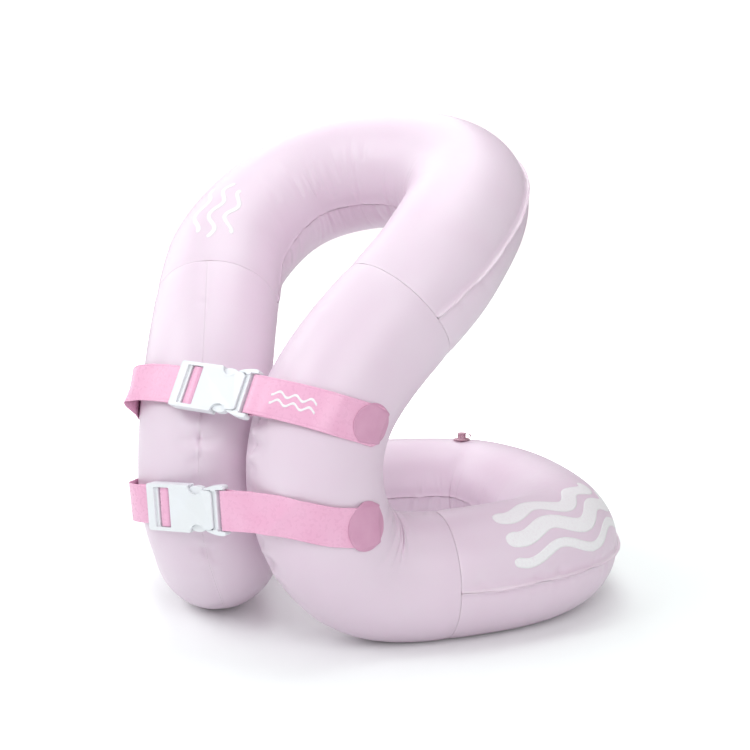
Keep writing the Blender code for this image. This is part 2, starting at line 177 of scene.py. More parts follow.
def section(s):
    """Centre, side, front, direction to the bend's centre and curvature at shares s."""
    s = np.asarray(s, float)
    share = np.abs(s)
    tangent = unit(centre(share, 1))
    side = np.stack([np.interp(share, SHARES, SIDES[:, k]) for k in range(3)], axis=-1)
    side = unit(side - tangent * (side * tangent).sum(-1, keepdims=True))
    front = np.cross(tangent, side)
    speed = np.linalg.norm(centre(share, 1), axis=-1, keepdims=True)
    second = centre(share, 2)
    normal = (second - tangent * (second * tangent).sum(-1, keepdims=True)) / speed ** 2
    curvature = np.linalg.norm(normal, axis=-1) + 1e-6
    mirror = np.stack([np.where(s < 0, -1.0, 1.0), np.ones_like(s), np.ones_like(s)], axis=-1)
    inward = normal / curvature[..., None]
    return centre(share) * mirror, side * mirror, front * mirror, inward * mirror, curvature


def place(s, along, across, fin=0.0):
    """Points at (along the seam direction, across it) from the centreline, the way the film lies.

    Film crowds towards the inside of a tight bend but never crosses itself, and goes flat on the
    floor; fin is a further step out along the seam direction, taken after that.
    """
    middle, side, front, inward, curvature = section(s)
    offset = along[..., None] * side + across[..., None] * front
    reach = (offset * inward).sum(-1) * curvature
    crowded = BEND_START + BEND_ROOM * np.tanh((reach - BEND_START) / BEND_ROOM)
    change = np.where(reach > BEND_START, crowded - reach, 0.0) / curvature
    point = middle + offset + change[..., None] * inward
    point = point + np.broadcast_to(fin, along.shape)[..., None] * side
    point[..., 2] = FLOOR_SOFT * np.logaddexp(0.0, point[..., 2] / FLOOR_SOFT)
    return point


def on_tube(s, angle, radius):
    """Plain tube point, as the CAD has it; angle in radians."""
    middle, side, front, _, _ = section(s)
    return middle + radius * (math.cos(angle) * side + math.sin(angle) * front)


# ---- creases and puckers pressed into the film ----

def turn_gap(angle, other):
    """Signed difference of two angles in degrees, the short way round."""
    return (angle - other + 180.0) % 360.0 - 180.0


MM_PER_DEGREE = TUBE_R * math.pi / 180

# A stroke is (s0, angle0, s1, angle1, width mm, depth mm): deepest at its start, gone at its end.
NECK_STROKES = (
    (0.168, 140, 0.142, 100, 4.0, 0.9), (0.131, 152, 0.117, 108, 4.0, 1.1),
    (0.100, 158, 0.094, 122, 3.0, 0.8), (0.075, 154, 0.078, 104, 4.0, 1.1),
    (0.057, 166, 0.060, 130, 3.0, 0.7), (0.039, 152, 0.049, 110, 3.5, 0.9),
    (0.018, 176, 0.023, 88, 2.6, 1.0), (0.004, 134, 0.006, 112, 3.0, 0.8),
    (0.196, 160, 0.190, 128, 4.0, 0.7), (0.226, 168, 0.222, 138, 4.0, 0.6),
)
BEND_STROKES = (
    (0.520, -70, 0.524, -14, 5.0, 1.4), (0.541, -84, 0.538, -12, 4.2, 3.0),
    (0.558, -92, 0.551, 2, 4.0, 3.6), (0.575, -90, 0.572, -10, 3.6, 3.0),
    (0.593, -88, 0.596, -22, 3.6, 2.6), (0.612, -86, 0.622, -28, 4.0, 1.5),
    (0.552, -104, 0.549, -150, 4.2, 2.0), (0.575, -106, 0.576, -160, 4.0, 1.8),
    (0.602, -100, 0.609, -146, 4.0, 1.4), (0.530, -104, 0.524, -140, 4.5, 1.2),
)
LEG_STROKES = (
    (0.4250, 91, 0.4255, 74, 3.2, 2.2), (0.4250, 91, 0.4250, 106, 3.2, 2.0),
    (0.4400, 90, 0.4405, 67, 3.2, 3.4), (0.4400, 90, 0.4390, 112, 3.2, 3.0),
    (0.4530, 90, 0.4540, 78, 2.6, 1.4), (0.4120, 90, 0.4115, 78, 2.6, 1.2),
    (0.5190, 93, 0.5165, 74, 3.4, 3.0), (0.5200, 88, 0.5210, 104, 3.6, 2.4),
    (0.3560, 90, 0.3550, 80, 2.6, 0.6), (0.5900, 90, 0.5920, 78, 3.0, 1.0),
)
WAIST_STROKES = (
    (0.7290, -1, 0.7240, -11, 3.0, 1.2), (0.7450, -1, 0.7450, -17, 3.0, 1.5),
    (0.7730, -1, 0.7790, -24, 3.2, 1.4), (0.8030, -1, 0.8050, -15, 3.0, 1.0),
    (0.8400, -1, 0.8380, -16, 3.0, 1.0), (0.6930, -2, 0.6880, -12, 2.6, 0.8),
    (0.7000, -176, 0.7080, -140, 5.0, 1.2), (0.7350, -178, 0.7380, -146, 5.0, 0.9),
)


def mirrored_strokes(strokes, hand):
    return [(hand * s0, a0, hand * s1, a1, w, d) for s0, a0, s1, a1, w, d in strokes]


def seam_puckers(rng, lows, highs, angle, toward, spacing, length, depth):
    """Small puckers that start on a seam at the given angle and fade out over `length` degrees."""
    strokes = []
    at, end = arc(np.array(lows)), arc(np.array(highs))
    while at < end:
        s0, s1 = share_at(at), share_at(at + rng.uniform(-5, 5) * MM)
        reach = length * rng.uniform(0.6, 1.3)
        strokes.append((s0, angle, s1, angle + toward * reach, rng.uniform(2.2, 3.8),
                        depth * rng.uniform(0.45, 1.25)))
        at += spacing * MM * rng.uniform(0.6, 1.5)
    return strokes


def all_strokes():
    rng = np.random.default_rng(SEED)
    strokes = mirrored_strokes(NECK_STROKES, -1)
    for hand in (-1, 1):
        strokes += mirrored_strokes(BEND_STROKES + LEG_STROKES + WAIST_STROKES, hand)
    neck = NECK_END - 0.012
    strokes += seam_puckers(rng, 0.03, neck, 179, -1, 26, 48, 0.9)
    strokes += seam_puckers(rng, -neck, neck, -179, 1, 24, 46, 1.0)
    strokes += seam_puckers(rng, -neck, neck, 1, 1, 34, 16, 0.8)
    strokes += seam_puckers(rng, -neck, neck, -1, -1, 30, 16, 0.8)
    for low, high in ((-1.0, -0.87), (-0.86, -0.69), (0.86, 1.0)):
        strokes += seam_puckers(rng, low, high, -1, -1, 34, 17, 1.0)
    for low, high in ((-1.0, -0.69), (0.69, 1.0)):
        strokes += seam_puckers(rng, low, high, 1, 1, 32, 17, 0.9)
        strokes += seam_puckers(rng, low, high, -179, 1, 42, 36, 0.7)
        strokes += seam_puckers(rng, low, high, 179, -1, 36, 38, 0.9)
    for low, high in ((-0.665, -0.33), (0.33, 0.665)):
        strokes += seam_puckers(rng, low, high, -90, 1, 34, 14, 0.6)
        strokes += seam_puckers(rng, low, high, -90, -1, 36, 14, 0.6)
    return strokes


STROKES = np.array(all_strokes())
SWELLS = np.random.default_rng(SEED + 1).uniform(-1, 1, (14, 4))


def stroke_relief(s, angle):
    """Depth of all strokes at (s, angle), in metres; each pucker has a soft bank on both sides."""
    x = arc(s) / MM
    total = np.zeros(np.broadcast(s, angle).shape)
    starts, ends = arc(STROKES[:, 0]) / MM, arc(STROKES[:, 2]) / MM
    low, high = x.min() - 30, x.max() + 30
    for (_, a0, _, a1, width, depth), x0, x1 in zip(STROKES, starts, ends):
        if not low < x0 < high:
            continue
        ex, ey = x1 - x0, (a1 - a0) * MM_PER_DEGREE / MM
        dx, dy = x - x0, turn_gap(angle, a0) * MM_PER_DEGREE / MM
        length = math.hypot(ex, ey)
        t = (dx * ex + dy * ey) / length ** 2
        d = np.abs(dx * ey - dy * ex) / length / (width * (1 + 0.5 * np.clip(t, 0, 1)))
        fade = smooth((1.1 - t) / 0.8) * smooth((t + 0.12 * 30 / length) / (0.12 * 30 / length))
        valley = np.exp(-1.15 * (np.sqrt(d * d + 0.03) - 0.17))
        total += depth * MM * fade * (0.45 * np.exp(-(d - 2.3) ** 2) - valley)
    return total


def swell(s, angle):
    """Slow unevenness of hand-welded film, a few tenths of a millimetre."""
    x = arc(s) / 0.1
    total = 0.0
    for a, b, c, d in SWELLS:
        waves_round = round(3 * b)
        total = total + c * np.sin(math.pi * (1.4 * a * x + d) + waves_round * np.radians(angle))
    return 0.16 * MM * total


def ring_distance(s):
    """Distance along the tube to the nearest ring weld."""
    here = np.abs(arc(s))
    return np.minimum(np.abs(here - arc(NECK_END)), np.abs(here - arc(WAIST_START)))


def relief(s, angle):
    """How far the film's outer face stands off the plain tube at (s, angle in degrees)."""
    share = np.abs(s)
    ring = ring_distance(s) / MM
    total = stroke_relief(s, angle) + swell(s, angle)
    total = total - (0.3 * np.exp(-(ring / 1.1) ** 2) + 0.7 * np.exp(-(ring / 8.0) ** 2)) * MM
    is_leg = (share > NECK_END) & (share < WAIST_START)
    side_seam = np.minimum(np.abs(turn_gap(angle, 90)), np.abs(turn_gap(angle, -90)))
    side_seam = side_seam * MM_PER_DEGREE / MM
    lap = 0.14 * np.exp(-(side_seam / 1.6) ** 4) - 0.5 * np.exp(-(side_seam / 7.0) ** 2)
    outer, inner = (np.abs(turn_gap(angle, a)) * MM_PER_DEGREE / MM for a in (0, 180))
    flat_seam = np.minimum(outer, inner)
    root = 1.5 * np.exp(-flat_seam / 2.2) - 0.9 * np.exp(-((flat_seam - 5) / 4.0) ** 2)
    root = root * np.where(outer < inner, 1.0, 0.4)
    return total + np.where(is_leg, lap, root) * MM


def film_point(s, angle, lift=0.0):
    """Point on the film's outer face; s and angle (degrees) are arrays of one shape."""
    radius = TUBE_R + relief(s, angle) + lift
    turn = np.radians(angle)
    return place(s, radius * np.cos(turn), radius * np.sin(turn))


# ---- mesh helpers ----

def new_object(name, mesh, material=None):
    obj = bpy.data.objects.new(name, mesh)
    bpy.context.collection.objects.link(obj)
    if material is not None:
        mesh.materials.clear()
        mesh.materials.append(material)
    return obj


def mesh_from(verts, faces, smooth_shaded=True, sharp=40):
    bm = bmesh.new()
    points = [bm.verts.new(v) for v in verts]
    for face in faces:
        bm.faces.new([points[i] for i in face])
    bmesh.ops.recalc_face_normals(bm, faces=bm.faces)
    mesh = bpy.data.meshes.new("mesh")
    bm.to_mesh(mesh)
    bm.free()
    if smooth_shaded:
        mesh.shade_smooth()
        mesh.set_sharp_from_angle(angle=math.radians(sharp))
    return mesh


def grid_faces(rows, columns, first=0, wrap_columns=False):
    faces = []
    last = columns if wrap_columns else columns - 1
    for i in range(rows - 1):
        for j in range(last):
            k = (j + 1) % columns
            a, b = first + i * columns, first + (i + 1) * columns
            faces.append((a + j, a + k, b + k, b + j))
    return faces


def shell_mesh(outer, inner):
    """Closed thin shell from two grids of points of the same shape (rows, columns, 3)."""
    rows, columns = outer.shape[:2]
    count = rows * columns
    verts = np.vstack([outer.reshape(-1, 3), inner.reshape(-1, 3)])
    faces = grid_faces(rows, columns)
    faces += [tuple(reversed(f)) for f in grid_faces(rows, columns, count)]
    edge = list(range(columns))
    edge += [i * columns + columns - 1 for i in range(1, rows)]
    edge += [(rows - 1) * columns + j for j in range(columns - 2, -1, -1)]
    edge += [i * columns for i in range(rows - 2, 0, -1)]
    for a, b in zip(edge, edge[1:] + edge[:1]):
        faces.append((b, a, a + count, b + count))
    mesh = bpy.data.meshes.new("shell")
    mesh.from_pydata(verts.tolist(), [], faces)
    mesh.shade_smooth()
    return mesh


# ---- film panels ----

def rows_between(low, high):
    """Shares from low to high at about the grid step, closer together beside a ring weld."""
    edge = np.array((0.12, 0.5, 0.9, 1.4, 2.0, 3.0, 4.6, 7.0)) * MM
    start, end = arc(np.array(low)), arc(np.array(high))
    inner_start, inner_end = start, end
    lengths = []
    if abs(low) < 0.99:
        lengths += list(start + edge)
        inner_start = start + edge[-1] + GRID
    if abs(high) < 0.99:
        inner_end = end - edge[-1] - GRID
    count = int((inner_end - inner_start) / GRID)
    lengths += list(np.linspace(inner_start, inner_end, count))
    if abs(high) < 0.99:
        lengths += list(end - edge[::-1])
    return share_at(np.array(lengths))


def waist_rows():
    """Shares round the whole waist loop, from the right leg past the back to the left leg."""
    right = rows_between(WAIST_START, 1.0)
    return np.concatenate([right, -right[-2::-1]])


FIN_WAVES = np.random.default_rng(SEED + 2).uniform(0, 2 * math.pi, 6)


def fin_wave(s, phase):
    """Sideways waver of a fin's free edge, in metres."""
    x = np.abs(arc(s)) / MM * np.where(s < 0, 1.07, 1.0)
    return (0.55 * np.sin(x / 9.3 + FIN_WAVES[phase]) + 0.35 * np.sin(x / 4.1 + FIN_WAVES[phase + 1])
            + 0.5 * np.sin(x / 23.0 + FIN_WAVES[phase + 2])) * MM


def finned_panel(shares, flip, depth):
    """Outer or inner face of a sheet with a flat fin along each of its two seams.

    depth 0 gives the outer face and FILM the inner one.
    """
    close = [0.6, 1.2, 2.0, 3.0, 4.2, 5.6, 7.2, 9.2]
    middle = np.linspace(11.5, 168.5, int(157 * MM_PER_DEGREE / GRID))
    angles = np.array(close + list(middle) + [180 - a for a in reversed(close)])
    s, angle = np.meshgrid(shares, angles, indexing="ij")
    radius = TUBE_R + relief(s, flip * angle) - depth
    turn = np.radians(angle)
    lip = SEAM_LIP + FILM - depth
    across = np.maximum(radius * np.sin(turn), lip)
    sheet = place(s, radius * np.cos(turn), flip * across)
    fins = []
    ring = ring_distance(shares) / MM
    for sign, phase in ((1, 0), (-1, 3)):
        columns = []
        taper = (0.25 + 0.75 * smooth(ring / 14.0)) if sign > 0 else 0.16
        for out in (1.0, 0.66, 0.33):
            rise = out * FIN * taper * (1 + 0.06 * np.sin(arc(shares) / MM / 13.0))
            wave = fin_wave(shares, phase) * out
            root = np.full(len(shares), sign * TUBE_R)
            reach = rise + 1.2 * MM * (1 - out)
            columns.append(place(shares, root, flip * lip + wave, sign * reach))
        fins.append(np.stack(columns, axis=1))
    return np.concatenate([fins[0], sheet, fins[1][:, ::-1]], axis=1)


def lapped_panel(shares, first_angle, depth):
    """Outer or inner face of a leg sheet, which meets its neighbour in a flat lap at both edges."""
    close = [0.03, 0.5, 1.0, 1.6, 2.4, 3.6, 5.2, 7.3]
    middle = np.linspace(9.5, 170.5, int(161 * MM_PER_DEGREE / GRID))
    angles = first_angle + np.array(close + list(middle) + [180 - a for a in reversed(close)])
    s, angle = np.meshgrid(shares, angles, indexing="ij")
    return film_point(s, angle, -depth)


def weld_highlight_share(obj, shares, seam_angles, strength):
    """Point attribute "weld", a painted highlight mask: `strength` on a seam's welded strip, 0 away
    from it.
    """
    mesh = obj.data
    co = np.zeros(len(mesh.vertices) * 3)
    mesh.vertices.foreach_get("co", co)
    columns = len(mesh.vertices) // 2 // len(shares)
    s = np.repeat(shares, columns)
    middle, side, front, _, _ = section(s)
    ring = ring_distance(s)
    values = []
    for half in np.split(co.reshape(-1, 3), 2):
        offset = half - middle
        angle = np.degrees(np.arctan2((offset * front).sum(-1), (offset * side).sum(-1)))
        near = np.minimum.reduce([np.abs(turn_gap(angle, a)) for a in seam_angles]) * MM_PER_DEGREE
        # painted highlight: full on a seam's strip, 0.3 of it beside a ring weld
        weld = np.maximum(smooth((2.0 * MM - near) / (0.8 * MM)),
                          0.3 * smooth((2.0 * MM - ring) / (0.8 * MM)))
        values.append(strength * weld)
    attribute = mesh.attributes.new("weld", "FLOAT", "POINT")
    attribute.data.foreach_set("value", np.concatenate(values).astype(np.float32))


def film_piece(name, node, shares, faces_at, seam_angles, strength, material):
    outer, inner = faces_at(0.0), faces_at(FILM)
    obj = new_object(name, shell_mesh(outer, inner), material)
    # the weld attribute places the painted highlight along the seams
    weld_highlight_share(obj, shares, seam_angles, strength)
    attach(obj, "vest")
    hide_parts(node)


def build_film(material):
    sheets = (("neck", rows_between(-NECK_END, NECK_END), "front", "back"),
              ("waist", waist_rows(), "lower", "upper"))
    for part, shares, plus, minus in sheets:
        for side, flip in ((plus, 1), (minus, -1)):
            film_piece(f"film_{part}_{side}", f"{part}_{side}_panel", shares,
                       lambda depth, r=shares, f=flip: finned_panel(r, f, depth), (0,), 1.0, material)
    leg = rows_between(NECK_END, WAIST_START)
    for name, hand in (("left", -1), ("right", 1)):
        for side, first in (("outer", -90), ("inner", 90)):
            film_piece(f"film_{name}_leg_{side}", f"{name}_leg_{side}_panel", hand * leg,
                       lambda depth, r=hand * leg, a=first: lapped_panel(r, a, depth), (90, -90),
                       0.25, material)


# ---- printed waves ----

INK_LIFTS = (0.14, -0.1)            # outer and inner face of the ink, in mm off the surface under it
INK_STEP = 1.5 * MM


def print_piece(name, s_of, angle_of, u_range, half_width, material):
    """A printed stripe on the film: a band round the line (s_of(u), angle_of(u))."""
    u = np.linspace(*u_range, int((u_range[1] - u_range[0]) / INK_STEP))
    x, y = s_of(u), angle_of(u) * MM_PER_DEGREE
    tx, ty = np.gradient(x, u), np.gradient(y, u)
    length = np.hypot(tx, ty)
    across = np.linspace(-1, 1, max(5, int(2 * half_width / INK_STEP)))
    inside = np.clip(np.minimum(u - u[0], u[-1] - u) / half_width, 0.02, 1)
    taper = np.sqrt(inside * (2 - inside))
    wide = (half_width * taper)[:, None] * across
    px = x[:, None] - (ty / length)[:, None] * wide
    py = y[:, None] + (tx / length)[:, None] * wide
    grids = [film_point(share_at(px), py / MM_PER_DEGREE, lift * MM) for lift in INK_LIFTS]
    obj = new_object(name, shell_mesh(*grids), material)
    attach(obj, "vest")


def build_prints(material):
    """Generic wave stripes where the vest is printed: left shoulder and right of the waist."""
    middle = arc(np.array(-0.222))
    for row, length in enumerate((66, 84, 66)):
        lift = (row - 1) * 16
        print_piece(f"shoulder_wave_{row + 1}",
                    lambda u, o=middle: o + u,
                    lambda u, o=lift: 92 + o + 4.2 * np.sin(u / MM / 38 * 2 * math.pi),
                    (-length / 2 * MM, length / 2 * MM), 2.4 * MM, material)
    start = arc(np.array(0.712))
    for row, (angle, half, length) in enumerate(((-70, 8.5, 178), (-46, 8.5, 186), (-24, 5.0, 170))):
        print_piece(f"waist_wave_{row + 1}",
                    lambda u, o=start + 2 * row * MM: o + u,
                    lambda u, a=angle: a + 6.0 * np.sin(u / MM / 74 * 2 * math.pi + 0.4),
                    (0.0, length * MM), half * MM, material)


# ---- straps ----

def buckle_matrix(middle, lean, roll):
    """Buckle frame: x along it from the socket's strap end, y in towards the chest, z across."""
    place_at = Matrix.Translation(Vector(middle) * MM)
    lean_back = Matrix.Rotation(math.radians(-lean), 4, "X")
    rolled = Matrix.Rotation(math.radians(-roll), 4, "Y")
    return place_at @ lean_back @ rolled @ Matrix.Translation((-BUCKLE_L / 2, 0, 0))


def to_world(matrix, x, y, z=0.0):
    return np.array(matrix @ Vector((x, y, z)))


def leg_axis(share):
    """Direction up a leg at a share."""
    return -unit(centre(abs(share), 1)) * np.array((math.copysign(1, share), 1, 1))


def around_leg(share, angle):
    """Direction round the leg, towards its front, at an angle."""
    _, side, front, _, _ = section(share)
    return -math.sin(angle) * side + math.cos(angle) * front


def strap_slope(start, share):
    """Angle at which a strap climbs the leg, so that it heads straight for its buckle."""
    axis = leg_axis(share)
    reach = start - on_tube(share, PATCH_TURN, TUBE_R + LAY_GAP)
    rise = reach @ axis
    return math.atan2(rise, np.linalg.norm(reach - rise * axis))


def on_strap_line(share, slope, step):
    """Point, heading and width direction on the leg, a step ahead of the patch's middle."""
    axis = leg_axis(share)
    lay = TUBE_R + LAY_GAP + STRAP_T / 2
    length = np.linalg.norm(centre(abs(share), 1)) * STEPS
    climbed = share - math.copysign(1, share) * step * math.sin(slope) / length
    turned = PATCH_TURN + step * math.cos(slope) / lay
    around = around_leg(climbed, turned)
    heading = math.cos(slope) * around + math.sin(slope) * axis
    return on_tube(climbed, turned, lay), heading, math.cos(slope) * axis - math.sin(slope) * around


def strap_run(matrix, bar_x, side, share, pull):
    """Main run of a strap from its buckle bar to its patch: points and width directions."""
    along = np.array(matrix.to_3x3() @ Vector((side, 0, 0)))
    inward = np.array(matrix.to_3x3() @ Vector((0, 1, 0)))
    if side < 0:
        start = to_world(matrix, bar_x - WEB_BAR_FLAT - 6 * MM, 2.3 * MM)
    else:
        start = to_world(matrix, bar_x + 3 * MM, -(BAR / 2 + 1.7 * MM))
        along = unit(along + 0.18 * inward)
    slope = strap_slope(start, share)
    touch, forward, axis = on_strap_line(share, slope, PATCH_R + 2 * MM)
    reach = touch - start
    handle_a = start + along * pull[0] * abs(reach @ along)
    handle_b = touch + forward * pull[1] * abs(reach @ inward)
    points, widths = [], []
    across = np.array(matrix.to_3x3() @ Vector((0, 0, 1)))
    for t in np.linspace(0, 1, 15):
        ease = t * t * (3 - 2 * t)
        points.append((1 - t) ** 3 * start + 3 * (1 - t) ** 2 * t * handle_a
                      + 3 * (1 - t) * t ** 2 * handle_b + t ** 3 * touch)
        widths.append(unit((1 - ease) * across + ease * axis))
    for step in (19, 13, 7, 0, -6, -12):
        point, _, width = on_strap_line(share, slope, step * MM)
        points.append(point)
        widths.append(width)
    return points, widths, inward, slope


def strap_tail(points, widths, inward, side):
    """Folded-back end behind the run: it starts level with the bar and hugs the run."""
    tail, tail_widths, gone = [], [], 0.0
    for i, (point, width) in enumerate(zip(points, widths)):
        if i:
            gone += np.linalg.norm(point - points[i - 1])
        if gone > TAIL:
            break
        spare = 0.0 if side < 0 else 4.8 * MM * max(0.0, 1 - gone / (14 * MM)) ** 2
        behind = unit(np.cross(points[i + 1] - point, width))
        behind = behind if behind @ inward > 0 else -behind
        tail.append(point + behind * (2.2 * MM + spare))
        tail_widths.append(width)
    return tail, tail_widths


def bar_loop(matrix, bar_x, side):
    """Turn of the strap round its bar, from the tail's side to the main run's side."""
    radius = BAR / 2 + 1.7 * MM
    start, stop = (-60, 165) if side < 0 else (-90, 90)
    flat = WEB_BAR_FLAT if side < 0 else 0.0
    for degrees in np.linspace(start, stop, 10):
        a = math.radians(degrees)
        middle = bar_x - side * math.copysign(flat, 90 - degrees)
        yield to_world(matrix, middle - side * radius * math.cos(a), -radius * math.sin(a))


def resample(points, widths, step):
    """Catmull-Rom through the points, resampled to an even step; the widths follow."""
    data = np.hstack([np.array(points), np.array(widths)])
    padded = np.vstack([2 * data[0] - data[1], data, 2 * data[-1] - data[-2]])
    fine = []
    t = np.linspace(0, 1, 9)[:-1, None]
    for i in range(1, len(padded) - 2):
        a, b, c, d = padded[i - 1:i + 3]
        fine.append(0.5 * (2 * b + (c - a) * t + (2 * a - 5 * b + 4 * c - d) * t ** 2
                           + (3 * b - 3 * c + d - a) * t ** 3))
    fine = np.vstack(fine + [padded[-2:-1]])
    gone = np.concatenate([[0], np.cumsum(np.linalg.norm(np.diff(fine[:, :3], axis=0), axis=1))])
    even = np.linspace(0, gone[-1], int(gone[-1] / step))
    fine = np.stack([np.interp(even, gone, fine[:, k]) for k in range(6)], axis=1)
    return fine[:, :3], unit(fine[:, 3:]), even


END_ROUND = 19.6 * MM        # radius of a strap's rounded end, about its patch's middle
END_PAST = 12 * MM           # how far a strap runs on past its patch's middle

# across a strap, as shares of its half width; the pair about 0.88 is its welded border line
STRAP_COLUMNS = (-1, -0.992, -0.97, -0.94, -0.905, -0.88, -0.855, -0.8, -0.6, -0.4, -0.2, 0,
                 0.2, 0.4, 0.6, 0.8, 0.855, 0.88, 0.905, 0.94, 0.97, 0.992, 1)


def strap_faces(points, widths, ripple, even):
    """Front and back face grids of a strap: rounded edges and far end, a pressed border line."""
    headings = unit(np.gradient(points, axis=0))
    widths = unit(widths - headings * (widths * headings).sum(-1, keepdims=True))
    normals = np.cross(headings, widths)
    column = np.array(STRAP_COLUMNS)
    half = STRAP_T / 2 * np.sqrt(np.clip(1 - np.clip((np.abs(column) - 0.968) / 0.032, 0, 1) ** 2,
                                         0.02, 1))
    border = 0.22 * MM * np.exp(-((np.abs(column) - 0.88) / 0.022) ** 2)
    past = np.clip(even - even[-1] + END_PAST, 0, None) / END_ROUND
    reach = STRAP_W / 2 * np.minimum(1.0, END_ROUND * 2 / STRAP_W * np.sqrt(1 - past ** 2))
    base = points[:, None] + (reach[:, None] * column)[..., None] * widths[:, None]
    lift = ripple[..., None] * normals[:, None]
    thick = (half - border)[None, :, None] * normals[:, None]
    return base + lift + thick, base + lift - thick


def strap_ripple(length, even, seed, crease):
    """Slight waves of a PVC strap between its ends, and one diagonal crease if asked for."""
    rng = np.random.default_rng(seed)
    x, z = np.meshgrid(even / MM, np.array(STRAP_COLUMNS) * 19, indexing="ij")
    total = np.zeros_like(x)
    for _ in range(5):
        a, b, phase = rng.uniform(-1, 1, 3)
        total += 0.34 * np.sin(x / 10 * (0.6 + 0.4 * a) + z / 15 * b + 6 * phase)
    if crease is not None:
        at, slope, depth = crease
        d = (x - at - slope * z) / math.hypot(1, slope)
        total += depth * np.exp(-np.abs(d) / 11)
    ends = smooth((x - 46) / 14) * smooth((even[-1] / MM - 40 - x) / 14)
    return total * ends * MM


def build_strap(row, name, side, share, matrix, material):
    bar_x = WEB_BAR_X if side < 0 else END_BAR_X
    points, widths, inward, slope = strap_run(matrix, bar_x, side, share, PULL[f"{row}_{name}"])
    tail, tail_widths = strap_tail(points, widths, inward, side)
    loop = list(bar_loop(matrix, bar_x, side))
    across = [np.array(matrix.to_3x3() @ Vector((0, 0, 1)))] * len(loop)
    path, directions, even = resample(tail[::-1] + loop + points,
                                      tail_widths[::-1] + across + widths, 1.6 * MM)
    crease = (102.0, 0.74, 4.6) if (row, name) == ("lower", "right") else None
    ripple = strap_ripple(even[-1], even, SEED + len(row + name) + int(side), crease)
    front, back = strap_faces(path, directions, ripple, even)
    obj = new_object(f"strap_{row}_{name}", shell_mesh(front, back), material)
    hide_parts(f"{row}_{name}_strap")
    if side < 0:
        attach(obj, "vest")
    else:
        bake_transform(obj)
    return path, directions, even, ripple, points[-6], slope


def build_strap_print(path, directions, even, ripple, leg_point, matrix, material):
    """Small white wave on the upper right strap."""
    headings = unit(np.gradient(path, axis=0))
    level = directions - headings * (directions * headings).sum(-1, keepdims=True)
    normals = np.cross(headings, unit(level))
    outward = to_world(matrix, 0, -1) - to_world(matrix, 0, 0)
    sign = 1 if (normals[len(normals) // 2] @ outward) > 0 else -1
    for row, (offset, first, last) in enumerate(((5.0, 58, 104), (-3.0, 58, 104))):
        u = np.arange(first, last, 1.0) * MM
        wave = (offset + 2.2 * np.sin(u / MM / 15.5 * math.tau)) * MM
        across = np.linspace(-1.25, 1.25, 5) * MM
        faces = []
        for lift in INK_LIFTS:
            grid = []
            for k in across:
                z = wave + k
                at = [np.interp(u, even, path[:, c]) for c in range(3)]
                width = unit(np.stack([np.interp(u, even, directions[:, c]) for c in range(3)], 1))
                normal = unit(np.stack([np.interp(u, even, normals[:, c]) for c in range(3)], 1))
                bump = np.interp(u, even, ripple[:, len(STRAP_COLUMNS) // 2])
                height = sign * (STRAP_T / 2 + lift * MM) + bump
                grid.append(np.stack(at, 1) + z[:, None] * width + height[:, None] * normal)
            faces.append(np.stack(grid, axis=1))
        obj = new_object(f"strap_wave_{row + 1}", shell_mesh(*faces), material)
        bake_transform(obj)


def build_patch(name, share, slope, material):
    """Round patch welded down over a strap's end: it steps up over the strap inside its rim."""
    hand = math.copysign(1, share)
    length = np.linalg.norm(centre(abs(share), 1)) * STEPS
    rings = np.concatenate([np.linspace(0.02, 0.84, 12), [0.88, 0.91, 0.94, 0.965, 0.985, 1.0]])
    turns = np.linspace(0, 2 * math.pi, 73)[:-1]
    ring, turn = np.meshgrid(rings, turns, indexing="ij")
    ring_mm = ring * PATCH_R / MM
    along, around = ring_mm * np.sin(turn), ring_mm * np.cos(turn)
    ahead = around * math.cos(slope) - along * math.sin(slope)
    aside = along * math.cos(slope) + around * math.sin(slope)
    on_strap = smooth((21.5 - np.abs(aside)) / 3.0) * smooth((ahead + 15.5) / 3.0)
    weld = -0.3 * np.exp(-((ring_mm - 20.6) / 0.7) ** 2)
    wobble = 0.12 * np.sin(5 * turn + 1.0) * ring ** 2 + 0.1 * np.sin(9 * turn) * ring ** 3
    height = 0.75 + 2.25 * on_strap + weld + wobble
    s = share + hand * along * MM / length
    angle = math.degrees(PATCH_TURN) + around * MM / TUBE_R * 180 / math.pi
    edge = np.sqrt(np.clip(1 - (np.clip(ring_mm - 22.3, 0, 0.7) / 0.7) ** 2, 0.02, 1))
    middle, side, front, _, _ = section(s)
    turned = np.radians(angle)[..., None]
    direction = np.cos(turned) * side + np.sin(turned) * front
    faces = []
    for half in (0.5, -0.5):
        radius = TUBE_R + (height + half * 0.9 * edge) * MM
        faces.append(middle + radius[..., None] * direction)
    count = len(rings) * len(turns)
    verts = np.vstack([f.reshape(-1, 3) for f in faces])
    n = len(turns)
    quads = grid_faces(len(rings), n, 0, True) + grid_faces(len(rings), n, count, True)
    quads += [tuple(range(n)), tuple(range(count, count + n))]
    rim = (len(rings) - 1) * n
    for k in range(n):
        after = (k + 1) % n
        quads.append((rim + k, rim + after, count + rim + after, count + rim + k))
    obj = new_object(f"patch_{name}", mesh_from(verts, quads, sharp=80), material)
    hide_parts(f"{name}_patch")
    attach(obj, "vest")


# ---- side-release buckles ----

def prism(outline, low, high):
    """Closed prism: an outline in x and z, extruded from y=low to y=high. All in mm."""
    n = len(outline)
    verts = [(x * MM, y * MM, z * MM) for y in (low, high) for x, z in outline]
    faces = [tuple(range(n)), tuple(range(n, 2 * n))]
    faces += [(k, (k + 1) % n, n + (k + 1) % n, n + k) for k in range(n)]
    return mesh_from(verts, faces, smooth_shaded=False)


